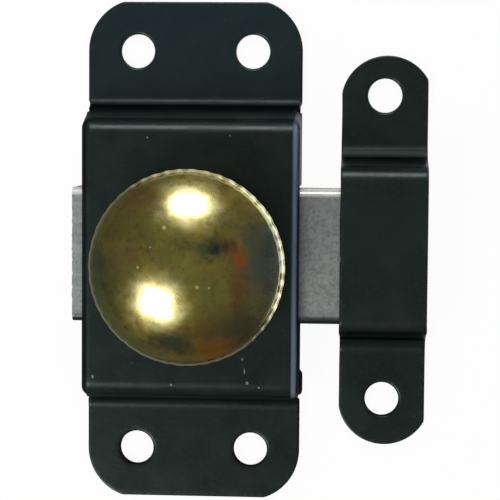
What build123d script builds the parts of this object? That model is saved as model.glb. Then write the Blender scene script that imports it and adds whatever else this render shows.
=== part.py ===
from build123d import *
import math
import os

# Slide bolt with a round knob: a pressed case, a folded bolt, a crimped knob and a strap keeper.
# Millimetres. The origin is the centre of the case on its back.
# X runs along the bolt towards the keeper, Y along the case, Z away from the door.

# Pressed sheet of the case and the keeper
sheet = 1.0
bend_inside = 1.15
foot_bend = 2.1
edge_roll = 0.22
hole_roll = 0.35
screw_hole = 4.3

# Case
case_length = 63.5
case_width = 27.3
case_height = 7.65
case_end_length = 14.98
case_lean = 19.0
face_shift = -0.45
side_bend_inside = 0.2
case_corner = 6.55
case_corner_overrun = 0.35
case_hole_from_end = 6.25
case_hole_from_side = 6.3
relief_above_bend = 0.4
wall_foot_corner = 1.5

# Bolt
bolt_width = 16.9
bolt_sheet = 0.8
bolt_bend_inside = 0.1
bolt_y = -0.15
bolt_under_face = 0.45
bolt_above_door = 0.2
bolt_side_gap = 0.25
bolt_tail_out = 1.38
bolt_engagement = 5.5
bolt_travel = 8.5
tip_lead_long = 1.6
tip_lead_wide = 0.7

# Keeper
keeper_width = 11.0
keeper_gap = 5.0
keeper_lean = 15.0
keeper_y = 0.7
keeper_room_above = 0.3
keeper_room_beside = 0.9
keeper_end_up = 24.4
keeper_end_down = 25.2
keeper_end_radius = 5.87
keeper_end_shift = 0.3
keeper_hole_pitch = 38.7

# Knob
knob_x = 0.35
knob_y = -1.0
knob_diameter = 23.85
knob_rim_above_face = 7.6
knob_dome = 5.4
knob_sheet = 0.5
knob_ledge = 0.32
knob_ledge_drop = 0.2
ledge_crease = 0.12
ledge_round = 0.25
knob_skirt = 1.7
knob_curl = 0.95
knob_lip_return = 2.425
knob_crimps = 46
crimp_depth = 0.22
crimp_crest = 0.03
back_sheet = 0.8
back_dish = 1.6
back_flat = 11.0
back_fit = 0.06

# Stud and washer
stud_shank = 4.5
stud_slot_gap = 0.2
stud_tenon = 3.2
tenon_fit = 0.04
stud_collar = 9.6
stud_collar_thick = 1.0
stud_neck = 6.4
rivet_head = 5.6
rivet_height = 0.8
washer_diameter = 9.0
washer_thick = 0.3
washer_bow = 0.25
washer_gap = 0.05

# Heights and places that follow
face_length = case_length - 2 * case_end_length
bend_outside = bend_inside + sheet
bolt_top = case_height - sheet - bolt_under_face
bolt_web_under = bolt_top - bolt_sheet
bolt_tail_x = -case_width / 2 - bolt_tail_out
keeper_x = case_width / 2 + keeper_gap + keeper_width / 2
bolt_tip_x = keeper_x - keeper_width / 2 + bolt_engagement
keeper_height = bolt_top + keeper_room_above + sheet
knob_rim_z = case_height + knob_rim_above_face
knob_under_z = knob_rim_z - knob_ledge_drop - knob_skirt
washer_z = case_height + washer_gap
collar_z = washer_z + washer_thick + washer_bow + washer_gap


def slope(lean):
    """How far a riser that leans by this many degrees comes out for each millimetre of height."""
    return math.tan(math.radians(lean))


def setback(lean):
    """How far the back's corner lies behind the front's corner, for each millimetre of sheet."""
    return math.tan(math.radians((90 - lean) / 2))


def hat_section(half_face, end_down, end_up, height, lean):
    """Section through a strap along its length: flange, riser, raised face, riser and flange."""
    half_foot = half_face + (height - sheet) * slope(lean)
    back_face = half_face - sheet * setback(lean)
    back_foot = half_foot - sheet * setback(lean)
    front = [
        (-end_down, sheet),
        (-half_foot, sheet),
        (-half_face, height),
        (half_face, height),
        (half_foot, sheet),
        (end_up, sheet),
    ]
    back = [
        (end_up, 0),
        (back_foot, 0),
        (back_face, height - sheet),
        (-back_face, height - sheet),
        (-back_foot, 0),
        (-end_down, 0),
    ]
    front_bends = [0, foot_bend, bend_outside, bend_outside, foot_bend, 0]
    back_bends = [0, foot_bend + sheet, bend_inside, bend_inside, foot_bend + sheet, 0]
    line = FilletPolyline(*front, *back, radius=front_bends + back_bends, close=True)
    return make_face(Plane.YZ * line)


def strap(half_face, end_down, end_up, height, lean, outline, width):
    """A bent strap: the section carried across the width, cut to the outline of the blank."""
    bent = extrude(hat_section(half_face, end_down, end_up, height, lean), amount=width, both=True)
    body = bent & extrude(outline, amount=height + sheet)
    return body.fillet(edge_roll, front_rim(body, lean))


def front_rim(body, lean):
    """The edges all round the front of a strap, which shearing rolls over."""
    front = [face for face in body.faces() if face.normal_at(face.center()).Z > slope(lean) / 4]
    edges = [edge for face in front for edge in face.edges()]
    return [edge for edge in edges if sum(edge.is_same(other) for other in edges) == 1]


def screw_holes(places):
    """Cutters for the screw holes."""
    return [Pos(x, y, 0) * Cylinder(screw_hole / 2, 4 * sheet) for x, y in places]


def roll_holes(solid):
    """Rounds the front rim of each screw hole."""
    rims = [
        edge
        for edge in solid.edges().filter_by(GeomType.CIRCLE)
        if abs(edge.radius - screw_hole / 2) < 1e-6 and abs(edge.arc_center.Z - sheet) < 1e-6
    ]
    return solid.fillet(hole_roll, rims)


def raised_box(half_face, half_width, height, end_bend, side_bend):
    """The raised part as a solid block: leaning ends with wide bends, upright sides, rounded corners."""
    foot = half_face + height * slope(case_lean)
    outline = FilletPolyline(
        (-foot, 0),
        (-half_face, height),
        (half_face, height),
        (foot, 0),
        radius=[0, end_bend, end_bend, 0],
        close=True,
    )
    block = extrude(make_face(Plane.YZ * outline), amount=half_width, both=True)
    sides = [face for face in block.faces() if abs(face.normal_at(face.center()).X) > 0.9]
    edges = [edge for face in sides for edge in face.edges() if edge.center().Z > height / 4]
    return block.fillet(side_bend, edges)


def make_case():
    """Flanges, risers, face and side walls in one sheet, with the bolt's notches and the stud's slot."""
    half_face = face_length / 2
    half_width = case_width / 2
    half_length = case_length / 2
    long_outline = RectangleRounded(case_width, case_length + 2 * case_corner_overrun, case_corner)
    outline = long_outline & Rectangle(case_width, case_length)
    end_down = half_length + face_shift
    end_up = half_length - face_shift
    outline = Pos(0, -face_shift) * outline
    ends = strap(half_face, end_down, end_up, case_height, case_lean, outline, case_width)

    # The ends keep the full width up to the relief; above it the corners are drawn round.
    bend_top = sheet + foot_bend * (1 - math.sin(math.radians(case_lean)))
    relief = bend_top + relief_above_bend
    below = Pos(0, 0, relief / 2) * Box(2 * case_width, 2 * case_length, relief)
    above_height = case_height - relief + sheet
    above = Pos(0, 0, relief + above_height / 2) * Box(2 * case_width, 2 * case_length, above_height)
    inner_face = half_face - sheet * setback(case_lean)
    side_bend = side_bend_inside + sheet
    outer_box = raised_box(half_face, half_width, case_height, bend_outside, side_bend)
    inner_box = raised_box(inner_face, half_width - sheet, case_height - sheet, bend_inside, side_bend_inside)
    drawn = (outer_box - inner_box) & above

    # Side walls down to the door, with rounded feet beside the relief.
    wall_end = inner_face + (case_height - sheet - relief) * slope(case_lean) + sheet / 4
    foot_line = FilletPolyline(
        (-wall_end, 0),
        (wall_end, 0),
        (wall_end, relief),
        (-wall_end, relief),
        radius=[wall_foot_corner, wall_foot_corner, 0, 0],
        close=True,
    )
    wall = extrude(make_face(Plane.YZ * foot_line), amount=sheet / 2, both=True)
    body = (ends & below) + drawn
    for side in (-1, 1):
        body += Pos(side * (half_width - sheet / 2), 0, 0) * wall
    body = Pos(0, face_shift, 0) * body

    notch_width = bolt_width + 2 * bolt_side_gap
    notch_top = bolt_top + bolt_side_gap
    body -= Pos(0, bolt_y, 0) * Box(2 * case_width, notch_width, 2 * notch_top)

    slot_width = stud_shank + 2 * stud_slot_gap
    slot = SlotCenterToCenter(bolt_travel, slot_width)
    body -= Pos(knob_x - bolt_travel / 2, knob_y, case_height - 2 * sheet) * extrude(slot, amount=3 * sheet)

    hole_x = half_width - case_hole_from_side
    hole_y = half_length - case_hole_from_end
    places = [(x, y) for x in (-hole_x, hole_x) for y in (-hole_y, hole_y)]
    for cutter in screw_holes(places):
        body -= cutter
    return roll_holes(body)


def make_keeper():
    """A strap with round ends, raised in the middle for the bolt."""
    half_face = bolt_width / 2 + keeper_room_beside + sheet * setback(keeper_lean)
    high = keeper_end_up
    low = -keeper_end_down
    band = Pos(0, (high + low) / 2) * Rectangle(keeper_width, high - low)
    upper = Pos(keeper_end_shift, high - keeper_end_radius) * Circle(keeper_end_radius)
    lower = Pos(keeper_end_shift, low + keeper_end_radius) * Circle(keeper_end_radius)
    middle = Pos(0, (high + low) / 2) * Rectangle(keeper_width, high - low - 2 * keeper_end_radius)
    outline = middle + (upper & band) + (lower & band)
    body = strap(
        half_face, keeper_end_down, keeper_end_up, keeper_height, keeper_lean, outline, keeper_width
    )
    for cutter in screw_holes([(0, -keeper_hole_pitch / 2), (0, keeper_hole_pitch / 2)]):
        body -= cutter
    return Pos(keeper_x, keeper_y, 0) * roll_holes(body)


def make_bolt():
    """A folded channel, open towards the door, with a hole for the stud's tenon."""
    half = bolt_width / 2
    inner = half - bolt_sheet
    outside_bend = bolt_bend_inside + bolt_sheet
    line = FilletPolyline(
        (-half, bolt_above_door),
        (-half, bolt_top),
        (half, bolt_top),
        (half, bolt_above_door),
        (inner, bolt_above_door),
        (inner, bolt_web_under),
        (-inner, bolt_web_under),
        (-inner, bolt_above_door),
        radius=[0, outside_bend, outside_bend, 0, 0, bolt_bend_inside, bolt_bend_inside, 0],
        close=True,
    )
    length = bolt_tip_x - bolt_tail_x
    middle = (bolt_tip_x + bolt_tail_x) / 2
    channel = Pos(middle, bolt_y, 0) * extrude(make_face(Plane.YZ * line), amount=length / 2, both=True)
    lead = Polyline(
        (bolt_tip_x - tip_lead_long, half),
        (bolt_tip_x, half - tip_lead_wide),
        (bolt_tip_x, half),
        close=True,
    )
    corner = extrude(make_face(lead), amount=case_height)
    channel -= Pos(0, bolt_y, 0) * corner
    channel -= Pos(0, bolt_y, 0) * mirror(corner, about=Plane.XZ)
    return channel - Pos(knob_x, knob_y, bolt_top) * Cylinder(stud_tenon / 2 + tenon_fit, 4 * bolt_sheet)


def make_knob_cap():
    """A domed brass shell with a narrow ledge, whose skirt is crimped into flutes and curled under."""
    skirt = knob_diameter / 2
    dome = skirt - knob_ledge
    lip = skirt - knob_lip_return
    ledge = -knob_ledge_drop
    under = ledge - knob_skirt
    inner_rise = knob_dome - knob_sheet
    crown = (dome**2 + knob_dome**2) / (2 * knob_dome)

    def on_dome(radius, depth):
        return (radius, knob_dome - crown + math.sqrt((crown - depth) ** 2 - radius**2))

    inside = on_dome(dome - knob_sheet, knob_sheet)
    outer = ThreePointArc((0, knob_dome), on_dome(dome / 2, 0), (dome, 0))
    inner = ThreePointArc((0, inner_rise), on_dome(dome / 2, knob_sheet), inside)
    rim_out = FilletPolyline(
        (dome, 0),
        (dome, ledge),
        (skirt, ledge),
        (skirt, under),
        (lip, under),
        radius=[ledge_crease, ledge_round, knob_curl],
    )
    rim_in = FilletPolyline(
        inside,
        (dome - knob_sheet, ledge - knob_sheet),
        (skirt - knob_sheet, ledge - knob_sheet),
        (skirt - knob_sheet, under + knob_sheet),
        (lip, under + knob_sheet),
        radius=[ledge_crease, 0, knob_curl - knob_sheet],
    )
    top = Line((0, knob_dome), (0, inner_rise))
    edge = Line((lip, under), (lip, under + knob_sheet))
    shell = revolve(make_face(Plane.XZ * (outer + inner + rim_out + rim_in + top + edge)), Axis.Z)
    return Pos(knob_x, knob_y, knob_rim_z) * (shell - crimp_tool(skirt))


def crimp_tool(radius):
    """A ring whose bore is a wavy outline: what the crimping jaws press into the rim."""
    crest = radius + crimp_crest
    half_step = math.pi / knob_crimps
    waves = Curve()
    for i in range(knob_crimps):
        middle = 2 * half_step * i
        spots = ((crest, middle - half_step), (radius - crimp_depth, middle), (crest, middle + half_step))
        waves += ThreePointArc(*[(r * math.cos(a), r * math.sin(a)) for r, a in spots])
    ring = Circle(radius + 2 * knob_sheet) - make_face(waves)
    return Pos(0, 0, -2 * knob_skirt) * extrude(ring, amount=3 * knob_skirt)


def turned(points):
    """A turned piece on the knob's axis, from the half section given as radius and height."""
    section = make_face(Plane.XZ * Polyline(*points, close=True))
    return Pos(knob_x, knob_y, 0) * revolve(section, Axis.Z)


def make_knob_back():
    """The dish inside the cap: a flat middle on the stud, a cone, and a rim held by the curl."""
    rim = knob_diameter / 2 - knob_ledge - knob_sheet - back_fit
    rim_z = knob_under_z + knob_sheet + back_fit
    flat = back_flat / 2
    cone = rim - 2 * knob_curl
    hole = stud_tenon / 2 + tenon_fit
    low = rim_z - back_dish
    return turned(
        [
            (hole, low),
            (flat, low),
            (cone, rim_z),
            (rim, rim_z),
            (rim, rim_z + back_sheet),
            (cone, rim_z + back_sheet),
            (flat, low + back_sheet),
            (hole, low + back_sheet),
        ]
    )


def make_knob_stud():
    """The stud: rivet, tenon through the bolt, shank in the slot, collar, neck, tenon and upper rivet."""
    tenon = stud_tenon / 2
    head = rivet_head / 2
    shank = stud_shank / 2
    collar = stud_collar / 2
    neck = stud_neck / 2
    seat = knob_under_z + knob_sheet + back_fit - back_dish
    head_top = seat + back_sheet + rivet_height
    head_low = bolt_web_under - rivet_height
    return turned(
        [
            (0, head_low),
            (head * 0.7, head_low),
            (head, bolt_web_under - rivet_height / 3),
            (head, bolt_web_under),
            (tenon, bolt_web_under),
            (tenon, bolt_top),
            (shank, bolt_top),
            (shank, collar_z),
            (collar, collar_z),
            (collar, collar_z + stud_collar_thick),
            (neck, collar_z + stud_collar_thick),
            (neck, seat),
            (tenon, seat),
            (tenon, seat + back_sheet),
            (head, seat + back_sheet),
            (head, seat + back_sheet + rivet_height / 3),
            (head * 0.7, head_top),
            (0, head_top),
        ]
    )


def make_spring_washer():
    """A thin bowed ring under the collar, which rubs on the face."""
    half = washer_diameter / 2
    bore = stud_shank / 2 + stud_slot_gap
    low = ThreePointArc((-half, 0), (0, washer_bow), (half, 0))
    high = ThreePointArc((-half, washer_thick), (0, washer_bow + washer_thick), (half, washer_thick))
    left = Line((-half, 0), (-half, washer_thick))
    right = Line((half, 0), (half, washer_thick))
    sheet_bow = extrude(make_face(Plane.XZ * (low + high + left + right)), amount=half, both=True)
    ring = extrude(Circle(half) - Circle(bore), amount=4 * washer_thick)
    return Pos(knob_x, knob_y, washer_z) * (sheet_bow & ring)


parts = {
    "case": make_case,
    "keeper": make_keeper,
    "bolt": make_bolt,
    "knob_cap": make_knob_cap,
    "knob_back": make_knob_back,
    "knob_stud": make_knob_stud,
    "spring_washer": make_spring_washer,
}
os.makedirs("parts", exist_ok=True)
for name, make in parts.items():
    export_step(make(), f"parts/{name}.step")
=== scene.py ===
import math
import bpy
import numpy as np
from mathutils import Matrix, Vector


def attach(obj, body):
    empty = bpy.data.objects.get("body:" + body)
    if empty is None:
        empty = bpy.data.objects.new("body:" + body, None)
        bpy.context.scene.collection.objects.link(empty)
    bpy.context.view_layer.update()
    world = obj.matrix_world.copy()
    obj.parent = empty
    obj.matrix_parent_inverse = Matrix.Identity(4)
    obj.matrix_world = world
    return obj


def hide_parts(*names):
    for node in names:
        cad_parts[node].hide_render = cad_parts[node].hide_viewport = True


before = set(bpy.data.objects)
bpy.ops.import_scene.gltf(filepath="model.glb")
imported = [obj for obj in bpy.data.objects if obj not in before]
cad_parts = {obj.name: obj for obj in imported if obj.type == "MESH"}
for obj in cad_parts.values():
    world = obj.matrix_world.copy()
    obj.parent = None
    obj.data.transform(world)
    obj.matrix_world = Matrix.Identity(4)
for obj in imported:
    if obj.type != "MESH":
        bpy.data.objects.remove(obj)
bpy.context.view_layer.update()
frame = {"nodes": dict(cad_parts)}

# A slide bolt: a pressed black case and keeper, a folded zinc bolt and a crimped brass knob.
# Lengths in the dictionaries are millimetres on the object's own axes; meshes are written in metres.
nodes = frame["nodes"]
mm = 0.001


def tone(red, green, blue):
    # A colour as read from a picture, 0 to 255, as the linear value that a shader takes
    parts = np.array([red, green, blue]) / 255
    parts = np.where(parts > 0.04045, ((parts + 0.055) / 1.055) ** 2.4, parts / 12.92)
    return (*[float(p) for p in parts], 1.0)


# Camera: the photograph's own
cameraSet = {
    "place": (21.7497, 16.408, 227.5092),  # where the photograph was taken from
    "turn": (0.0711, -0.0642, -0.0122),  # radians about X, Y and Z
    "focal": 1779.9063,  # in pixels of a frame this wide
    "frame": 500,
    "sensor": 36,
    "clip": (0.01, 20),  # in metres
}


def makeCamera(setting):
    data = bpy.data.cameras.new("camera")
    data.sensor_width = setting["sensor"]
    data.lens = setting["sensor"] * setting["focal"] / setting["frame"]
    data.clip_start, data.clip_end = setting["clip"]
    camera = bpy.data.objects.new("camera", data)
    bpy.context.scene.collection.objects.link(camera)
    rx, ry, rz = setting["turn"]
    turn = Matrix.Rotation(-rx, 4, "X") @ Matrix.Rotation(-ry, 4, "Y") @ Matrix.Rotation(-rz, 4, "Z")
    camera.matrix_world = Matrix.Translation(Vector(setting["place"]) * mm) @ turn
    bpy.context.scene.camera = camera


makeCamera(cameraSet)
print("camera is in place")


# Mesh code for every piece
def writeMesh(name, points, quads, triangles, marks=None, sharpAngle=38):
    # Points in millimetres and whole arrays of corner numbers become one smooth mesh
    mesh = bpy.data.meshes.new(name)
    corners = np.concatenate([quads.ravel(), triangles.ravel()]).astype(np.int32)
    counts = np.concatenate([np.full(len(quads), 4), np.full(len(triangles), 3)])
    starts = np.concatenate([[0], np.cumsum(counts)[:-1]]).astype(np.int32)
    mesh.vertices.add(len(points))
    mesh.vertices.foreach_set("co", (points * mm).astype(np.float32).ravel())
    mesh.loops.add(len(corners))
    mesh.loops.foreach_set("vertex_index", corners)
    mesh.polygons.add(len(counts))
    mesh.polygons.foreach_set("loop_start", starts)
    mesh.update(calc_edges=True)
    mesh.validate()
    mesh.shade_smooth()
    mesh.set_sharp_from_angle(angle=math.radians(sharpAngle))
    for markName, values in (marks or {}).items():
        layer = mesh.attributes.new(markName, "FLOAT", "POINT")
        layer.data.foreach_set("value", values.astype(np.float32))
    piece = bpy.data.objects.new(name, mesh)
    bpy.context.scene.collection.objects.link(piece)
    return piece


def gridLines(*runs):
    # Lines from run to run, each run given as (end, spacing) after the first start value
    lines = [runs[0]]
    for end, spacing in runs[1:]:
        count = max(1, round((end - lines[-1]) / spacing))
        lines.extend(lines[-1] + (end - lines[-1]) * np.arange(1, count + 1) / count)
    return np.array(lines)


def mirrored(lines):
    # The same lines on both sides of 0
    return np.concatenate([-lines[:0:-1], lines])


sharp = 0.01  # radius of a corner that is square


def roundBox(a, s, halfA, halfS, radius):
    # Distance inside a rectangle with round corners, in millimetres, negative outside
    qa = np.abs(a) - (halfA - radius)
    qs = np.abs(s) - (halfS - radius)
    outside = np.hypot(np.maximum(qa, 0), np.maximum(qs, 0))
    return radius - outside - np.minimum(np.maximum(qa, qs), 0)


def smoothMin(one, two, blend):
    # The smaller of two distances, with the crease between them rounded over a blend length
    part = np.clip(0.5 + 0.5 * (two - one) / blend, 0, 1)
    return two * (1 - part) + one * part - blend * part * (1 - part)


def ramp(value, low, high):
    # A smooth step from 0 at low to 1 at high
    part = np.clip((value - low) / (high - low), 0, 1)
    return part * part * (3 - 2 * part)


def wobble(one, two, seed, spacing):
    # Six sine waves in random directions, added: calm, and between about -1 and 1
    dice = np.random.default_rng(seed)
    total = 0
    for _ in range(6):
        angle = dice.uniform(0, 2 * math.pi)
        rate = 2 * math.pi / (spacing * dice.uniform(0.6, 1.7))
        total = total + np.sin(rate * (one * math.cos(angle) + two * math.sin(angle)) + dice.uniform(0, 6.28))
    return total / 3.5


sheetSet = {
    "sliver": 0.004,  # a cell whose middle is nearer to the rim than this goes
    "rollTurns": (22, 45, 68, 90),  # degrees round the roll at which rings lie
    "wearFrom": 0.2,  # distance from the edge at which the rim's wear starts to fade, and how fast
    "wearFade": 0.35,
    "ringWear": (1, 1, 1, 0.9, 0.3),
}


def pressedSheet(name, acrossLines, alongLines, surface, inside, thickness):
    # A sheet as a function of two lengths on its flat blank. surface gives the front point and its
    # normal. inside gives the distance from the nearest sheared edge and the radius of that edge's
    # roll. Grid points beside the line where the roll starts are moved onto it, cells beyond it go,
    # and rings carry the rim round the roll, down the sheared edge and on to the back.
    a, s = np.meshgrid(acrossLines, alongLines, indexing="ij")

    def level(a, s):
        distance, roll = inside(a, s)
        return distance - roll

    def slope(function, a, s, step=0.004):
        ga = (function(a + step, s) - function(a - step, s)) / (2 * step)
        gs = (function(a, s + step) - function(a, s - step)) / (2 * step)
        return ga, gs

    value = level(a, s)
    snap = np.zeros(a.shape, bool)
    for values, marks in ((value, snap), (value.T, snap.T)):
        crossing = (values[:-1] > 0) != (values[1:] > 0)
        nearFirst = np.abs(values[:-1]) <= np.abs(values[1:])
        marks[:-1] |= crossing & nearFirst
        marks[1:] |= crossing & ~nearFirst
    snapA, snapS = a[snap], s[snap]
    for _ in range(4):
        now = level(snapA, snapS)
        ga, gs = slope(level, snapA, snapS)
        size = np.maximum(ga * ga + gs * gs, 0.2)
        snapA = snapA - now * ga / size
        snapS = snapS - now * gs / size
    a[snap], s[snap] = snapA, snapS
    keep = snap | (value > 0)

    # Cells with all four corners stay; a cell with one corner out becomes a triangle
    index = np.arange(a.size).reshape(a.shape)
    cells = np.stack([index[:-1, :-1], index[1:, :-1], index[1:, 1:], index[:-1, 1:]], -1).reshape(-1, 4)
    kept = keep.ravel()[cells]
    flatA, flatS = a.ravel(), s.ravel()

    def middleInside(corners):
        return level(flatA[corners].mean(1), flatS[corners].mean(1)) > sheetSet["sliver"]

    whole = cells[kept.all(1)]
    whole = whole[middleInside(whole)]
    cut = cells[kept.sum(1) == 3]
    out = np.argmin(kept[kept.sum(1) == 3], 1)
    order = (out[:, None] + np.array([1, 2, 3])) % 4
    cut = np.take_along_axis(cut, order, 1)
    cut = cut[middleInside(cut)] if len(cut) else cut.reshape(0, 3)

    used = np.unique(np.concatenate([whole.ravel(), cut.ravel()]))
    renumber = np.full(a.size, -1)
    renumber[used] = np.arange(len(used))
    whole, cut = renumber[whole], renumber[cut]
    blankA, blankS = flatA[used], flatS[used]
    count = len(used)

    edges = np.concatenate(
        [whole[:, [i, (i + 1) % 4]] for i in range(4)] + [cut[:, [i, (i + 1) % 3]] for i in range(3)]
    )
    forward = edges[:, 0].astype(np.int64) * count + edges[:, 1]
    backward = edges[:, 1].astype(np.int64) * count + edges[:, 0]
    rim = edges[~np.isin(forward, backward)]
    rimPoints = np.unique(rim)
    place = np.full(count, -1)
    place[rimPoints] = np.arange(len(rimPoints))
    rimFrom, rimTo = place[rim[:, 0]], place[rim[:, 1]]

    front, normal = surface(blankA, blankS)
    back = front - thickness * normal
    ra, rs = blankA[rimPoints], blankS[rimPoints]
    ga, gs = slope(lambda p, q: inside(p, q)[0], ra, rs, 0.03)
    size = np.maximum(np.hypot(ga, gs), 1e-6)
    roll = inside(ra, rs)[1]
    rings = []
    steps = [(math.sin(t), (1 - math.cos(t)) * roll) for t in np.radians(sheetSet["rollTurns"])]
    for reach, depth in steps + [(1.0, np.full(len(roll), thickness))]:
        points, lean = surface(ra - roll * reach * ga / size, rs - roll * reach * gs / size)
        rings.append(points - depth[:, None] * lean)

    points = np.concatenate([front, back] + rings)
    ring = np.arange(len(rimPoints))
    levels = [2 * count + k * len(rimPoints) + ring for k in range(len(rings))]
    levels = [rimPoints] + levels + [count + rimPoints]
    strips = [
        np.stack([upper[rimTo], upper[rimFrom], lower[rimFrom], lower[rimTo]], -1)
        for upper, lower in zip(levels[:-1], levels[1:])
    ]
    quads = np.concatenate([whole, whole[:, ::-1] + count] + strips)
    triangles = np.concatenate([cut, cut[:, ::-1] + count])
    # rim is 1 at the sheared edge, where the paint is worn, and fades over the front
    fading = np.maximum(inside(blankA, blankS)[0] - sheetSet["wearFrom"], 0) / sheetSet["wearFade"]
    ringWear = [np.full(len(rimPoints), v) for v in sheetSet["ringWear"]]
    wear = np.concatenate([np.exp(-fading), np.zeros(count)] + ringWear)
    return writeMesh(name, points, quads, triangles, {"rim": wear})


def hatProfile(setting, along, turn):
    # Outward travel, drop and slope at a length along a strap past its fold line. A bend is an arc
    # of its radius, down to the turn; then a straight riser, a hollow arc back to level and a flange.
    bend = setting["bendRadius"]
    foot = setting["footRadius"]
    fall = setting["height"] - setting["sheet"]
    bendLong = bend * turn
    straight = (fall - (bend + foot) * (1 - np.cos(turn))) / np.sin(turn)
    first = np.clip(along / bend, 0, turn)
    second = np.clip(along - bendLong, 0, straight)
    third = np.clip((along - bendLong - straight) / foot, 0, turn)
    last = np.maximum(along - bendLong - straight - foot * turn, 0)
    travel = bend * np.sin(first) + second * np.cos(turn)
    travel = travel + foot * (np.sin(turn) - np.sin(turn - third)) + last
    drop = bend * (1 - np.cos(first)) + second * np.sin(turn)
    drop = drop + foot * (np.cos(turn - third) - np.cos(turn))
    slope = first - third
    return travel, drop, slope


def hatLengths(setting, halfFace, lean):
    # Where the bends of a strap lie on its flat blank, and how much longer the blank is than the plan
    turn = math.radians(90 - lean)
    bend, foot = setting["bendRadius"], setting["footRadius"]
    fall = setting["height"] - setting["sheet"]
    bendEnd = bend * turn
    straight = (fall - (bend + foot) * (1 - math.cos(turn))) / math.sin(turn)
    footStart = bendEnd + straight
    footEnd = footStart + foot * turn
    reach = float(hatProfile(setting, np.array([footEnd]), np.array([turn]))[0][0])
    start = halfFace - bend * math.tan(turn / 2)
    return turn, start, bendEnd, footStart, footEnd, footEnd - reach


# Case
caseSet = {
    "sheet": 1.0,
    "halfLength": 31.75,
    "halfWidth": 13.65,
    "height": 7.65,
    "upper": (16.77, 20.5),  # half length of the face, and how many degrees the riser leans outwards
    "lower": (17.15, 13.0),
    "faceShift": -0.45,  # the raised part sits this far along from the middle of the flanges
    "bendRadius": 2.15,
    "sideRadius": 1.2,
    "planRadius": 0.95,  # the raised part's corners, seen from above
    "footRadius": 1.5,
    "cornerRadius": 6.55,
    "cornerOverrun": 0.35,
    "hole": (7.35, 25.5, 2.15),  # across, along, radius
    "edgeRoll": 0.22,
    "holeRoll": 0.36,
    "reliefHeight": 2.8,  # the corners are drawn round above this height
    "reliefGap": 0.22,
    "stripHalfWidth": 13.45,  # of the risers, below the relief
    "flangeFrom": 0.9,  # past the start of the hollow bend the flange has its full width
    "slot": (-3.9, -1.0, 8.5, 2.45),  # middle across, middle along, travel, half width
    "notch": (-0.15, 8.7, 6.45),  # middle along, half width, top height
    "notchCorner": 0.5,
    "wallEnd": (18.3, 17.75, 18.45),  # upper walls, lower right wall, lower left wall
    "wallCorner": 1.15,
    "wallWave": (2.5, 0.05, 0.01),  # of the walls' sheared edge: spacing, depth, how far in it lies
    "footFlare": 0.34,  # how far the walls' ends stand out at the foot
    "flareAlong": ((14.7, 15.1), (15.5, 18)),  # where it starts and is full: lower right wall, left walls
    "flareUp": (0.6, 0.5),  # it starts this far above the relief and is full this far above the foot
    "leftFlare": 0.5,  # share of it on the left
    "grid": (0.42, 0.33),  # spacing of mesh lines on flats and near the reliefs
}


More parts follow.
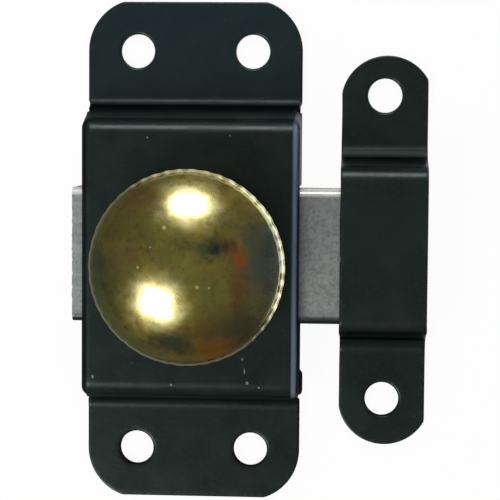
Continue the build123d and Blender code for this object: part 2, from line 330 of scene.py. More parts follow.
def makeCase(c):
    upper, lower = hatLengths(c, *c["upper"]), hatLengths(c, *c["lower"])
    bend, sideBend, shift = c["bendRadius"], c["sideRadius"], c["faceShift"]
    foldA = c["halfWidth"] - sideBend
    side = sideBend * math.pi / 2
    fullDrop = c["height"] - c["reliefHeight"]
    reliefA = side + fullDrop - sideBend
    wallLong = side + c["height"] - sideBend
    gap = c["reliefGap"]
    roll = c["edgeRoll"]
    flareRight, flareLeft = c["flareAlong"]
    flareStart, flareFull = c["flareUp"]
    waveSpacing, waveDepth, waveIn = c["wallWave"]
    flatStep, reliefStep = c["grid"]

    def lengths(s):
        # The fold lines and bends of the end that a point belongs to
        turn, foldS, bendEnd, footStart, _, spare = [np.where(s < 0, v, u) for u, v in zip(upper, lower)]
        bendDrop = bend * (1 - np.cos(turn))
        return turn, foldS, bendEnd + (fullDrop - bendDrop) / np.sin(turn), footStart, spare, bendDrop

    def wallAt(r):
        # Outward travel, drop and slope of the upright side at a length r past its fold line
        slope = np.clip(r / sideBend, 0, math.pi / 2)
        return sideBend * np.sin(slope), sideBend * (1 - np.cos(slope)) + np.maximum(r - side, 0), slope

    def surface(a, s):
        # Past one fold line lies a riser or a wall. Past both, share runs from 0 at the wall to 1 at
        # the riser, and at each drop the sheet follows a rectangle with a round corner.
        turn, foldS, reliefS, _, _, bendDrop = lengths(s)
        da, ds = np.abs(a) - foldA, np.abs(s) - foldS
        strip = (da > 0) & (ds > reliefS + gap / 2)
        foot = (ds > 0) & (da > reliefA + gap / 2)
        corner = (da > 0) & (ds > 0) & ~strip & ~foot
        onWall = ((da > 0) & (ds <= 0)) | foot
        endTravel, endDrop, endSlope = hatProfile(c, np.maximum(ds, 0), turn)
        sideTravel, sideDrop, sideSlope = wallAt(np.maximum(da, 0))
        x = np.where(onWall, foldA + sideTravel, np.abs(a))
        y = np.where(onWall | (ds <= 0), np.abs(s), foldS + endTravel)
        drop = np.where(onWall, sideDrop, endDrop)
        slope = np.where(onWall, sideSlope, endSlope)
        facing = np.where(onWall, 0.0, math.pi / 2)

        qa, qs = np.maximum(da, 1e-9) / reliefA, np.maximum(ds, 1e-9) / reliefS
        depth = np.maximum(qa, qs)
        share = np.where(qa >= qs, 0.5 * qs / depth, 1 - 0.5 * qa / depth)
        cornerEndDrop = hatProfile(c, depth * reliefS, turn)[1]
        cornerSideDrop = wallAt(depth * reliefA)[1]
        down = cornerSideDrop + (cornerEndDrop - cornerSideDrop) * ramp(share, 0, 1)
        endLean = np.minimum(np.arccos(np.clip(1 - down / bend, 0, 1)), turn)
        sideLean = np.arccos(np.clip(1 - down / sideBend, 0, 1))
        out = bend * np.sin(endLean) + np.maximum(down - bendDrop, 0) / np.tan(turn)
        wide = sideBend * np.sin(sideLean)
        width = np.minimum(np.minimum(wide, out), c["planRadius"])
        run, arc, back = out - width, width * math.pi / 2, wide - width
        along = share * (run + arc + back)
        around = np.clip((along - run) / np.maximum(arc, 1e-9), 0, 1) * math.pi / 2
        last = np.maximum(along - run - arc, 0)
        x = np.where(corner, foldA + back - last + width * np.cos(around), x)
        y = np.where(corner, foldS + np.minimum(along, run) + width * np.sin(around), y)
        drop = np.where(corner, down, drop)
        slope = np.where(corner, sideLean + (endLean - sideLean) * np.sin(around) ** 2, slope)
        facing = np.where(corner, around, facing)

        flare = ramp(-s, *flareRight) * (a > 0) + c["leftFlare"] * ramp(np.abs(s), *flareLeft) * (a < 0)
        x = x + c["footFlare"] * flare * ramp(da, reliefA - flareStart, wallLong - flareFull) * onWall
        normal = np.stack([
            np.sign(a) * np.sin(slope) * np.cos(facing),
            np.sign(s) * np.sin(slope) * np.sin(facing),
            np.cos(slope),
        ], -1)
        return np.stack([np.sign(a) * x, np.sign(s) * y + shift, c["height"] - drop], -1), normal

    def inside(a, s):
        # The flanges and holes are placed on the plan, the rest on the blank of the raised part
        _, foldS, reliefS, footStart, spare, _ = lengths(s)
        da, ds = np.abs(a) - foldA, np.abs(s) - foldS
        plan = np.abs(s) - spare + np.sign(s) * shift
        body = roundBox(a, s, foldA + reliefA, foldS + reliefS, sharp)
        overlap = 4  # of the riser's strip and the flange
        strap = roundBox(a, s, c["stripHalfWidth"], foldS + footStart + overlap, sharp)
        within = 20  # well inside the flange, so that only its outer corners are round
        end = c["halfLength"]
        cornerEnd = end + c["cornerOverrun"]
        flange = roundBox(a, plan - within, c["halfWidth"], cornerEnd - within, c["cornerRadius"])
        flange = np.minimum(np.minimum(flange, end - plan), np.abs(s) - (foldS + footStart + c["flangeFrom"]))
        upperEnd, rightEnd, leftEnd = c["wallEnd"]
        wallEnd = np.where(s > 0, upperEnd, np.where(a > 0, rightEnd, leftEnd))
        wallEdge = np.minimum(wobble(s, a, 5, waveSpacing) - 1, 0) * waveDepth - waveIn
        wall = roundBox(a, s, foldA + wallLong, wallEnd, c["wallCorner"]) + wallEdge * (da > side)
        distance = np.maximum(np.maximum(body, strap), np.maximum(flange, wall))
        cutS = np.hypot(np.maximum(foldA + gap / 2 - np.abs(a), 0), ds - reliefS - gap / 2) - gap / 2
        cutA = np.hypot(np.maximum(foldS + gap / 2 - np.abs(s), 0), da - reliefA - gap / 2) - gap / 2
        distance = np.minimum(distance, np.minimum(cutS, cutA))
        middle, half, top = c["notch"]
        notchA = foldA + side + (c["height"] - sideBend - top)
        notch = -smoothMin(np.abs(a) - notchA, half - np.abs(s + shift - middle), c["notchCorner"])
        x, y, travel, halfSlot = c["slot"]
        slot = np.hypot(np.maximum(np.abs(a - x) - travel / 2, 0), s + shift - y) - halfSlot
        distance = np.minimum(distance, np.minimum(notch, slot))
        holeA, holeS, radius = c["hole"]
        hole = np.hypot(np.abs(a) - holeA, plan - holeS) - radius
        return np.minimum(distance, hole), np.where(hole < distance, c["holeRoll"], roll)

    def endLines(lengthsOf, sign):
        # Mesh lines from the middle to one end: face, bend, riser, relief, foot, flange
        _, foldS, bendEnd, _, footEnd, spare = lengthsOf
        reliefS = float(lengths(np.array(sign))[2])
        return gridLines(
            0, (foldS, flatStep), (foldS + bendEnd, 0.14), (foldS + reliefS - roll, flatStep),
            (foldS + reliefS + gap + roll, reliefStep), (foldS + footEnd, 0.17),
            (c["halfLength"] + spare - sign * shift, flatStep),
        )

    acrossLines = mirrored(gridLines(
        0, (foldA, flatStep), (foldA + side, 0.16), (foldA + reliefA - roll, flatStep),
        (foldA + reliefA + gap + roll, reliefStep), (foldA + wallLong, 0.36),
    ))
    alongLines = np.concatenate([-endLines(lower, -1)[:0:-1], endLines(upper, 1)])
    return pressedSheet("case_shell", acrossLines, alongLines, surface, inside, c["sheet"])


# Keeper
keeperSet = {
    "sheet": 1.0,
    "middle": (24.15, 0.7),
    "halfWidth": 5.5,
    "height": 7.5,
    "halfFace": 10.117,
    "lean": 15.0,  # degrees that the risers lean outwards
    "bendRadius": 2.15,
    "footRadius": 2.1,
    "ends": (-25.2, 24.4),
    "endRadius": 5.87,
    "endShift": 0.3,
    "hole": (19.35, 2.15),  # along, radius
    "edgeRoll": 0.2,
    "holeRoll": 0.36,
    "nick": (-5.5, -1.1, 0.45, 0.16),  # across, along, half length, depth
    "burr": (-10.3, 0.5, 0.05),  # on the right edge: along, half length, height
    "leftWave": (9, 0.03),  # spacing and depth of the waves in the left edge
    "grid": (0.3, 0.4),  # spacing of mesh lines across and along the flats
}


def makeKeeper(c):
    turn, foldS, bendEnd, footStart, footEnd, spare = hatLengths(c, c["halfFace"], c["lean"])
    midX, midY = c["middle"]
    low, high = c["ends"]
    acrossStep, flatStep = c["grid"]

    def surface(a, s):
        # x is the blank's own; y and height follow the strap's profile on both sides of the face
        travel, drop, slope = hatProfile(c, np.maximum(np.abs(s) - foldS, 0), np.full(s.shape, turn))
        y = np.sign(s) * (np.minimum(np.abs(s), foldS) + travel)
        normal = np.stack([np.zeros(s.shape), np.sign(s) * np.sin(slope), np.cos(slope)], -1)
        return np.stack([midX + a, midY + y, c["height"] - drop], -1), normal

    def inside(a, s):
        # A rectangle with a disc at each end, cut to width, less a nick and the two holes
        y = s - np.sign(s) * spare
        middle = roundBox(a, y - (low + high) / 2, c["halfWidth"], (high - low) / 2 - c["endRadius"], sharp)
        endMiddle = np.where(y > 0, high - c["endRadius"], low + c["endRadius"])
        distance = np.maximum(middle, c["endRadius"] - np.hypot(a - c["endShift"], y - endMiddle))
        along, half, rise = c["burr"]
        burr = rise * np.exp(-((s - along) / half) ** 2) * (a > 0)
        spacing, depth = c["leftWave"]
        wave = depth * wobble(s, a, 3, spacing) * (a < 0)
        distance = np.minimum(distance, c["halfWidth"] - rise + burr + wave - np.abs(a))
        x, along, half, depth = c["nick"]
        nick = np.abs(a - x) - depth * np.exp(-((s - along) / half) ** 2)
        distance = np.minimum(distance, nick)
        hole = np.hypot(a, np.abs(y) - c["hole"][0]) - c["hole"][1]
        return np.minimum(distance, hole), np.where(hole < distance, c["holeRoll"], c["edgeRoll"])

    def endLines(end):
        # Mesh lines from the middle to one end: face, bend, riser, foot, flange
        return gridLines(
            0, (foldS, flatStep), (foldS + bendEnd, 0.14), (foldS + footStart, flatStep),
            (foldS + footEnd, 0.15), (end, 0.34),
        )

    acrossLines = mirrored(gridLines(0, (c["halfWidth"], acrossStep)))
    alongLines = np.concatenate([-endLines(spare - low)[:0:-1], endLines(high + spare)])
    return pressedSheet("keeper_strap", acrossLines, alongLines, surface, inside, c["sheet"])


# Bolt
boltSet = {
    "sheet": 0.8,
    "tail": -15.03,
    "tip": 24.15,
    "middleY": -0.15,
    "halfWidth": 8.45,
    "top": 6.2,
    "bottom": 0.2,
    "bendRadius": 0.9,
    "edgeRoll": 0.12,
    "tenon": (0.35, -1.0, 1.64),  # hole for the stud: across, along, radius
    "lead": 1.6,  # how far the tip's side walls slope back
    "tailWaves": ((11, 1.1, 0.045), (12, 0.5, 0.03)),  # seed, spacing and depth of the torn tail's waves
    "tailIn": 0.06,
    "grid": ((-13, 0.2), (22, 0.7), 0.3),  # mesh lines across: fine at the tail, coarse, fine at the tip
}


def makeBolt(c):
    fold = c["halfWidth"] - c["bendRadius"]
    arc = c["bendRadius"] * math.pi / 2
    leg = arc + c["top"] - c["bendRadius"] - c["bottom"]

    def surface(a, s):
        # x is the blank's own; y and height go round an arc at both folds, then straight down
        r = np.maximum(np.abs(s) - fold, 0)
        slope = np.minimum(r / c["bendRadius"], math.pi / 2)
        travel = c["bendRadius"] * np.sin(slope)
        drop = c["bendRadius"] * (1 - np.cos(slope)) + np.maximum(r - arc, 0)
        y = c["middleY"] + np.sign(s) * (np.minimum(np.abs(s), fold) + travel)
        normal = np.stack([np.zeros(s.shape), np.sign(s) * np.sin(slope), np.cos(slope)], -1)
        return np.stack([a, y, c["top"] - drop], -1), normal

    def inside(a, s):
        # Torn a little at the tail, sloping back down the walls at the tip
        left = a - c["tail"] - c["tailIn"]
        for seed, spacing, depth in c["tailWaves"]:
            left = left - depth * wobble(s, 0 * s, seed, spacing)
        over = np.maximum(np.abs(s) - fold - arc, 0) / (leg - arc)
        right = c["tip"] - a - c["lead"] * over
        distance = np.minimum(np.minimum(left, right), fold + leg - np.abs(s))
        hole = np.hypot(a - c["tenon"][0], s + c["middleY"] - c["tenon"][1]) - c["tenon"][2]
        return np.minimum(distance, hole), np.full(a.shape, c["edgeRoll"])

    tailGrid, middleGrid, tipStep = c["grid"]
    acrossLines = gridLines(c["tail"], tailGrid, middleGrid, (c["tip"], tipStep))
    alongLines = mirrored(gridLines(0, (fold, 0.35), (fold + arc, 0.13), (fold + leg, 0.4)))
    return pressedSheet("bolt_channel", acrossLines, alongLines, surface, inside, c["sheet"])


# Knob cap
knobSet = {
    "middle": (0.35, -1.0),
    "topHeight": 20.65,
    "rise": 5.4,  # of the dome above its ledge
    "radius": 11.925,
    "bevelFrom": 11.34,  # radius where the dome ends and the steeper, fluted border begins
    "bevelTurn": 54.0,  # degrees that the border falls
    "rimRadius": 11.605,  # of the dome at the rim's height, were it carried on
    "under": 1.9,  # from the rim's height down to the curled lip
    "curl": 0.95,
    "lipRadius": 9.5,
    "lipMiddle": 10.3,
    "sheet": 0.5,
    "ledge": 0.03,  # drop from the dome to the border
    "edgeRound": 0.14,  # between the border and the skirt
    "crimps": 46,
    "crimpDepth": 0.12,
    "skirtShare": 0.45,  # how much of that depth the skirt keeps
    "uneven": (0.28, 0.1),  # spread of the crimps' depth and of where their deepest line lies
    "depthLimits": (0.5, 1.5),
    "columns": 12,  # grid columns to a crimp
    "dents": (9, 0.012),  # spacing and depth of the shallow dents in the dome
    "tarnish": (0.7, 0.3),  # how much stays in the groove under the dome and in the crimps
    "grooveWidth": 0.09,
}


def makeKnobCap(k):
    # A profile of radius and height, carried round the knob: dome, border, skirt and curl, then back
    # inside. On the border and the skirt the radius is pressed in between the crests, 46 times
    # round, a little deeper and shallower as jaws leave it.
    under = -k["under"]
    rise = k["rise"]
    domeRows = 66
    crown = (k["rimRadius"] ** 2 + rise**2) / (2 * rise)

    def domeArc(depth, end, count):
        # Part of a ball, set back by depth, out to the radius end
        radius = crown - depth
        turn = np.linspace(0.012, 1, count) * math.asin(end / radius)
        return radius * np.sin(turn), rise - crown + radius * np.cos(turn)

    def corner(r, z, radius, fromAngle, toAngle, count):
        # Part of a circle about r and z, between two angles from straight out
        angle = np.radians(np.linspace(fromAngle, toAngle, count))
        return r + radius * np.cos(angle), z + radius * np.sin(angle)

    sheet = k["sheet"]
    curl = k["curl"]
    start, skirt, lip = k["bevelFrom"], k["radius"], k["lipRadius"]
    edge = k["edgeRound"]
    fall = math.tan(math.radians(k["bevelTurn"]))
    bevelTop = rise - crown + math.sqrt(crown**2 - start**2) - k["ledge"]
    bevelR = np.linspace(start + 0.05, skirt - 0.08, 7)
    bevelZ = bevelTop - fall * (bevelR - start)
    bevelEnd = bevelZ[-1]
    innerR, innerZ = domeArc(sheet, start - 0.3, 30)
    outside = [
        domeArc(0, start, domeRows),
        (bevelR, bevelZ),
        corner(skirt - edge, bevelEnd - edge, edge, 35, 0, 3),
        (np.array([skirt]), np.array([under + curl + 0.05])),
        corner(skirt - curl, under + curl, curl, 0, -90, 10),
    ]
    inside = [
        (np.array([k["lipMiddle"], lip + 0.1]), np.full(2, under)),
        corner(lip + sheet / 2, under + sheet / 2, sheet / 2, 250, 110, 6),
        (np.array([lip + 0.6, k["lipMiddle"] + 0.1]), np.full(2, under + sheet)),
        corner(skirt - curl, under + curl, curl - sheet, -90, 0, 6),
        (np.full(2, skirt - sheet), np.array([under + curl + 0.15, bevelEnd - 0.25])),
        (innerR[::-1], innerZ[::-1]),
    ]
    r = np.concatenate([p[0] for p in outside + inside])
    z = np.concatenate([p[1] for p in outside + inside])
    outer = sum(len(p[0]) for p in outside)
    row = np.arange(len(r))
    # how much each profile point takes the crimps: none on the dome, all on the border, less below
    share = ramp(r, start - 0.05, start + 0.45) * (row < outer)
    below = ramp(bevelEnd + 0.25 - z, 0, 0.4)
    share = share * (1 - (1 - k["skirtShare"]) * below) * ramp(r, skirt - curl - 0.1, skirt - curl + 0.3)

    columns = k["crimps"] * k["columns"]
    theta = np.arange(columns) * 2 * math.pi / columns
    phase = np.arange(columns) % k["columns"] / k["columns"] * 2 - 1
    dice = np.random.default_rng(8)
    depthSpread, slipSpread = k["uneven"]
    depths = np.clip(1 + depthSpread * dice.standard_normal(k["crimps"]), *k["depthLimits"])
    slip = slipSpread * dice.standard_normal(k["crimps"])
    pocket = 0.5 + 0.5 * np.cos(math.pi * (phase - np.repeat(slip, k["columns"]) * (1 - phase**2)))
    press = k["crimpDepth"] * np.repeat(depths, k["columns"]) * pocket

    radius = r[:, None] - share[:, None] * press[None, :]
    # the thin shell is not quite true: long shallow dents of about a hundredth of a millimetre
    flat = (row[:, None] < domeRows - 2) * np.clip(r[:, None] / 3, 0, 1)
    x0, y0 = radius * np.cos(theta), radius * np.sin(theta)
    dentSpacing, dentDepth = k["dents"]
    height = z[:, None] + dentDepth * flat * wobble(x0, y0, 21, dentSpacing)
    midX, midY = k["middle"]
    points = np.stack([midX + x0, midY + y0, k["topHeight"] - rise + height], -1)
    rows = len(r)
    index = np.arange(rows * columns).reshape(rows, columns)
    nextColumn = np.roll(index, -1, 1)
    quads = np.stack([index[:-1], index[1:], nextColumn[1:], nextColumn[:-1]], -1).reshape(-1, 4)
    poles = np.array([[midX, midY, k["topHeight"]], [midX, midY, k["topHeight"] - sheet]])
    top = np.full(columns, rows * columns)
    bottom = top + 1
    triangles = np.concatenate([
        np.stack([top, index[0], nextColumn[0]], -1),
        np.stack([bottom, nextColumn[-1], index[-1]], -1),
    ])
    points = np.concatenate([points.reshape(-1, 3), poles])
    # deep is 1 in the hollows of the crimps and the groove under the dome, where the tarnish stays
    inGroove, inCrimps = k["tarnish"]
    groove = inGroove * np.exp(-(((r - start - k["ledge"]) / k["grooveWidth"]) ** 2)) * (row < outer)
    deep = np.clip(inCrimps * share[:, None] * pocket[None, :] + groove[:, None], 0, 1)
    deep = np.concatenate([deep.ravel(), [0, 0]])
    return writeMesh("knob_shell", points, quads, triangles, {"deep": deep}, 50)


case = makeCase(caseSet)
print("case shell", len(case.data.polygons))
keeper = makeKeeper(keeperSet)
print("keeper strap", len(keeper.data.polygons))
bolt = makeBolt(boltSet)
print("bolt channel", len(bolt.data.polygons))
knobCap = makeKnobCap(knobSet)
print("knob shell", len(knobCap.data.polygons))


# Materials
even = (1, 1, 1)  # noise or a spot that isn't stretched


class Finish:
    # A material and short ways to add and join its nodes
    def __init__(self, name):
        self.material = bpy.data.materials.new(name)
        self.material.use_nodes = True
        self.tree = self.material.node_tree
        self.shader = self.tree.nodes["Principled BSDF"]
        self.where = self.add("ShaderNodeTexCoord").outputs["Object"]

    def add(self, kind, **values):
        node = self.tree.nodes.new(kind)
        for key, value in values.items():
            setattr(node, key, value)
        return node

    def join(self, source, target):
        self.tree.links.new(source, target)

    def put(self, socket, value):
        if isinstance(value, bpy.types.NodeSocket):
            self.join(value, socket)
        else:
            socket.default_value = value

    def give(self, name, value):
        self.put(self.shader.inputs[name], value)

    def axes(self):
        # Where a point lies across, along and up, in metres
        split = self.add("ShaderNodeSeparateXYZ")
        self.join(self.where, split.inputs[0])
        return split.outputs["X"], split.outputs["Y"], split.outputs["Z"]

    def vector(self, kind, one, two=None):
        node = self.add("ShaderNodeVectorMath", operation=kind)
        self.join(one, node.inputs[0])
        if two is not None:
            node.inputs[1].default_value = two
        return node.outputs["Value" if kind == "LENGTH" else "Vector"]

    def noise(self, size, detail, stretch=even, distort=0.0):
        # Noise whose blotches are about size millimetres across
        mapping = self.add("ShaderNodeMapping")
        self.join(self.where, mapping.inputs["Vector"])
        mapping.inputs["Scale"].default_value = [1000 / size / f for f in stretch]
        noise = self.add("ShaderNodeTexNoise")
        self.join(mapping.outputs[0], noise.inputs["Vector"])
        noise.inputs["Scale"].default_value = 1.0
        noise.inputs["Detail"].default_value = detail
        noise.inputs["Roughness"].default_value = 0.55
        noise.inputs["Distortion"].default_value = distort
        return noise.outputs["Fac"]

    def step(self, value, low, high, toLow=0.0, toHigh=1.0):
        # A soft step from toLow where the value is low to toHigh where it is high
        node = self.add("ShaderNodeMapRange", interpolation_type="SMOOTHSTEP")
        self.put(node.inputs["Value"], value)
        node.inputs["From Min"].default_value = low
        node.inputs["From Max"].default_value = high
        node.inputs["To Min"].default_value = toLow
        node.inputs["To Max"].default_value = toHigh
        return node.outputs["Result"]

    def reach(self, value, ends, toLow=0.0, toHigh=1.0):
        # The same along a length, whose two ends are in millimetres
        return self.step(value, ends[0] * mm, ends[1] * mm, toLow, toHigh)

    def band(self, value, rise, fall, top=1.0):
        # 0, then 1 past the rise, top at the start of the fall and 0 past it, all in millimetres
        return self.times(self.reach(value, rise), self.reach(value, fall, top, 0))

    def calc(self, kind, one, two, clamp=False):
        node = self.add("ShaderNodeMath", operation=kind, use_clamp=clamp)
        self.put(node.inputs[0], one)
        self.put(node.inputs[1], two)
        return node.outputs[0]

    def times(self, first, *others):
        for other in others:
            first = self.calc("MULTIPLY", first, other)
        return first

    def blend(self, amount, one, two):
        node = self.add("ShaderNodeMix", data_type="RGBA")
        self.put(node.inputs["Factor"], amount)
        self.put(node.inputs["A"], one)
        self.put(node.inputs["B"], two)
        return node.outputs["Result"]

    def uneven(self, size, detail, start, full, low, high, stretch=even):
        # A value from low where the noise is at start to high where it is full
        return self.step(self.noise(size, detail, stretch), start, full, low, high)

    def mottled(self, colour, blotches):
        # Blotches laid one over the other, each given as size and detail, distortion, the noise
        # where it starts and where it is full, how much it covers, and its colour
        for size, detail, distort, start, full, cover, tint in blotches:
            amount = self.step(self.noise(size, detail, distort=distort), start, full, 0, cover)
            colour = self.blend(amount, colour, tint)
        return colour

    def spot(self, place, size, rag, ragSize, stretch=even):
        # A ragged patch round a place in millimetres: 1 in its middle, and 0 a quarter beyond its size
        mapping = self.add("ShaderNodeMapping", vector_type="TEXTURE")
        self.join(self.where, mapping.inputs["Vector"])
        mapping.inputs["Location"].default_value = [v * mm for v in place]
        mapping.inputs["Scale"].default_value = [size * mm * f for f in stretch]
        ragged = self.calc("MULTIPLY_ADD", self.noise(ragSize, 3), rag * 4)
        ragged.node.inputs[2].default_value = -2 * rag
        away = self.calc("ADD", self.vector("LENGTH", mapping.outputs[0]), ragged)
        return self.step(away, 1.25, 0.15)

    def mark(self, name):
        return self.add("ShaderNodeAttribute", attribute_name=name).outputs["Fac"]

    def relief(self, layers):
        # Fine unevenness, each layer given as the noise's size, detail and stretch, and its depth in mm
        normal = None
        for size, detail, stretch, depth in layers:
            node = self.add("ShaderNodeBump")
            node.inputs["Distance"].default_value = depth * mm
            node.inputs["Strength"].default_value = 1.0
            self.join(self.noise(size, detail, stretch), node.inputs["Height"])
            if normal is not None:
                self.join(normal, node.inputs["Normal"])
            normal = node.outputs["Normal"]
        self.give("Normal", normal)


# In each finish, "rough" is the noise's size and detail, its value at both ends and the roughness
# there. A place is a pair, where a soft step starts and ends, or two pairs, a rise and a fall, in
# millimetres across (X), along (Y) or up (Z).
paintSet = {
    "colour": tone(14, 22, 20),
    "blotches": (
        (5.5, 4, 0, 0.38, 0.66, 1, tone(23, 34, 33)),
        (11, 2, 0, 0.5, 0.72, 0.6, tone(17, 25, 17)),
        (0.42, 3, 0, 0.45, 0.7, 0.75, tone(23, 34, 33)),
    ),
    "rough": (3.5, 4, 0.3, 0.72, 0.29, 0.38),
    "relief": ((0.7, 3, even, 0.012), (2.8, 2, even, 0.02)),
    "tint": (0.8, 1.0, 0.96, 1),  # of the gloss
    "gloss": (0.36, 0.2),  # on flat faces and in the hollow bends
    "steepGloss": 0.15,  # share of it left on the steep faces darkened with painted shade
    "wallGloss": 0.3,
    "dullHollow": 0.2,  # added roughness in the hollow bends
    "keeperAcross": (16, 18),
    "caseAcross": (15, 17),
    # painted reflection of a cool light: a bluish grey band along the right-hand bend, and a darker bluish
    # tone on its wall
    "paintedReflection": tone(122, 130, 164),
    "ridgeAcross": ((12.62, 13.06), (13.16, 13.5)),
    "ridgeUp": (5.8, 6.4),
    "ridgeBreakup": (2.5, 3, 0.25, 0.5, 0.75, 1, (1, 4, 1)),
    "wallReflection": tone(18, 24, 38),
    "wallAcross": ((13.3, 13.6), (14.5, 15.0)),
    "wallUp": (2.4, 2.8),
    "bluish": tone(22, 36, 43),
    "bluishAlong": (14, 24),
    "bluishCover": 0.6,
    # painted shade, nearly black, on the steep faces
    "paintedShade": tone(2, 4, 4),
    "feetUp": ((1.2, 1.7), (2.8, 6.4)),
    "keeperFeet": 0.7,  # the keeper's dark feet lie this much higher
    "shoulderUp": ((5.4, 6.1), (6.7, 7.2)),
    "shoulderCover": 0.8,
    "wallShade": 0.5,  # share of the painted shade left on the wall with the painted reflection
    "farAlong": (-4, 4),
    "nearShade": 0.45,  # and on the lower riser
    "leftAcross": (-13.1, -12.8),
    "leftUp": (1.2, 2.4),
    "leftCover": 0.5,
    # painted highlight in the keeper's upper hollow bend
    "paintedHollowHighlight": tone(58, 64, 62),
    "hollowHighlightAlong": ((12.4, 12.7), (12.9, 13.2)),
    "hollowHighlightUp": (1.8, 2.4),
    "hollowHighlightCover": 0.75,
    "hollowUp": ((1.02, 1.3), (2.2, 4.2)),
    "worn": tone(62, 68, 66),
    "wear": (0.9, 4, 0.5, 0.7, 0, 0.25),
    "fleck": tone(196, 204, 200),
    "flecks": (0.3, 1, 0.79, 0.83, 0, 0.2),
    "chipRag": (0.25, 0.3),  # how ragged a chip is, and the size of that in millimetres
    "chipCover": 0.6,
    # those on the raised face: place, size, stretch
    "chips": (
        ((7.35, -15.9, 7.6), 0.22, even),
        ((7.0, -14.4, 7.6), 0.2, (0.5, 1.9, 1)),
        ((6.7, -12.9, 7.6), 0.16, (0.7, 1.4, 1)),
        ((-2.2, -16.3, 7.6), 0.17, even),
        ((8.8, -16.5, 7.6), 0.15, even),
        ((-12.1, -15.4, 7.6), 0.18, (1, 1.3, 1)),
        ((-5.3, 14.6, 7.6), 0.12, even),
        ((5.0, 14.9, 7.6), 0.11, even),
    ),
}


def blackPaint(p):
    f = Finish("black_paint_finish")
    across, along, up = f.axes()
    onKeeper = f.reach(across, p["keeperAcross"])
    colour = f.mottled(p["colour"], p["blotches"])
    cool = f.reach(along, p["bluishAlong"], 0, p["bluishCover"])
    colour = f.blend(f.times(cool, f.reach(across, p["caseAcross"], 1, 0)), colour, p["bluish"])
    # painted reflection: the bend along the bolt's side of the case is painted a bluish grey for the cool
    # light that it reflects, and its wall a darker bluish tone too
    wall = f.band(across, *p["wallAcross"])
    colour = f.blend(f.times(wall, f.reach(up, p["wallUp"])), colour, p["wallReflection"])
    ridge = f.times(f.band(across, *p["ridgeAcross"]), f.uneven(*p["ridgeBreakup"]))
    colour = f.blend(f.times(ridge, f.reach(up, p["ridgeUp"])), colour, p["paintedReflection"])
    # painted shade: the steep faces are painted nearly black near their feet, most of all on the upper riser
    # and the keeper, and darker in a band below the shoulders and on the left wall
    aboveFeet = f.calc("SUBTRACT", up, f.reach(across, p["keeperAcross"], 0, p["keeperFeet"] * mm))
    shoulder = f.band(up, *p["shoulderUp"], p["shoulderCover"])
    paintedShade = f.calc("MAXIMUM", f.band(aboveFeet, *p["feetUp"]), shoulder)
    far = f.calc("MAXIMUM", f.reach(along, p["farAlong"], p["nearShade"], 1), onKeeper)
    paintedShade = f.times(paintedShade, f.step(wall, 0, 1, 1, p["wallShade"]), far)
    left = f.times(f.reach(across, p["leftAcross"], p["leftCover"], 0), f.reach(up, p["leftUp"]))
    paintedShade = f.calc("MAXIMUM", paintedShade, left)
    colour = f.blend(paintedShade, colour, p["paintedShade"])
    # painted highlight: a lighter band in the keeper's upper hollow bend
    paintedHollowHighlight = f.times(f.band(along, *p["hollowHighlightAlong"], p["hollowHighlightCover"]), onKeeper)
    colour = f.blend(f.times(paintedHollowHighlight, f.reach(up, p["hollowHighlightUp"], 1, 0)), colour, p["paintedHollowHighlight"])
    colour = f.blend(f.times(f.mark("rim"), f.uneven(*p["wear"])), colour, p["worn"])
    colour = f.blend(f.uneven(*p["flecks"]), colour, p["fleck"])
    for place, size, stretch in p["chips"]:
        chip = f.times(f.spot(place, size, *p["chipRag"], stretch), p["chipCover"])
        colour = f.blend(chip, colour, p["fleck"])
    f.give("Base Color", colour)
    # the paint lies thick and dull in the hollow bends above the flanges
    hollow = f.band(up, *p["hollowUp"])
    dull = f.times(hollow, p["dullHollow"])
    f.give("Roughness", f.calc("ADD", f.uneven(*p["rough"]), dull))
    gloss = f.times(f.step(hollow, 0, 1, *p["gloss"]), f.step(paintedShade, 0, 1, 1, p["steepGloss"]))
    f.give("Specular IOR Level", f.times(gloss, f.step(wall, 0, 1, 1, p["wallGloss"])))
    f.give("Specular Tint", p["tint"])
    f.give("IOR", 1.5)
    f.relief(p["relief"])
    return f.material


zincSet = {
    "light": tone(222, 227, 225),
    "blotches": (
        (1.6, 5, 0, 0.36, 0.64, 0.5, tone(184, 193, 194)),
        (0.4, 3, 0, 0.4, 0.7, 0.42, tone(128, 132, 126)),
    ),
    "rough": (1.1, 4, 0.3, 0.7, 0.23, 0.36),
    "relief": ((0.25, 3, (1, 5, 1), 0.004), (1.4, 3, even, 0.012)),
    "metallic": (0.1, 0.8),  # at the tail and near the keeper
    "sheenMetallic": 0.25,
    "darkZinc": tone(80, 86, 88),
    "darkCover": (0.4, 0.55),  # towards the keeper, and the painted shadow beside the case's edge
    "lengthAcross": (-12, 13),
    "shadowAcross": (13.6, 15.2),
    "lowerBend": (-7.9, -7.4),
    # painted sheen along the upper bend
    "paintedSheen": tone(226, 227, 222),
    "upperBend": (7.2, 7.6),
    "sheenUp": (3.6, 5.0),
}


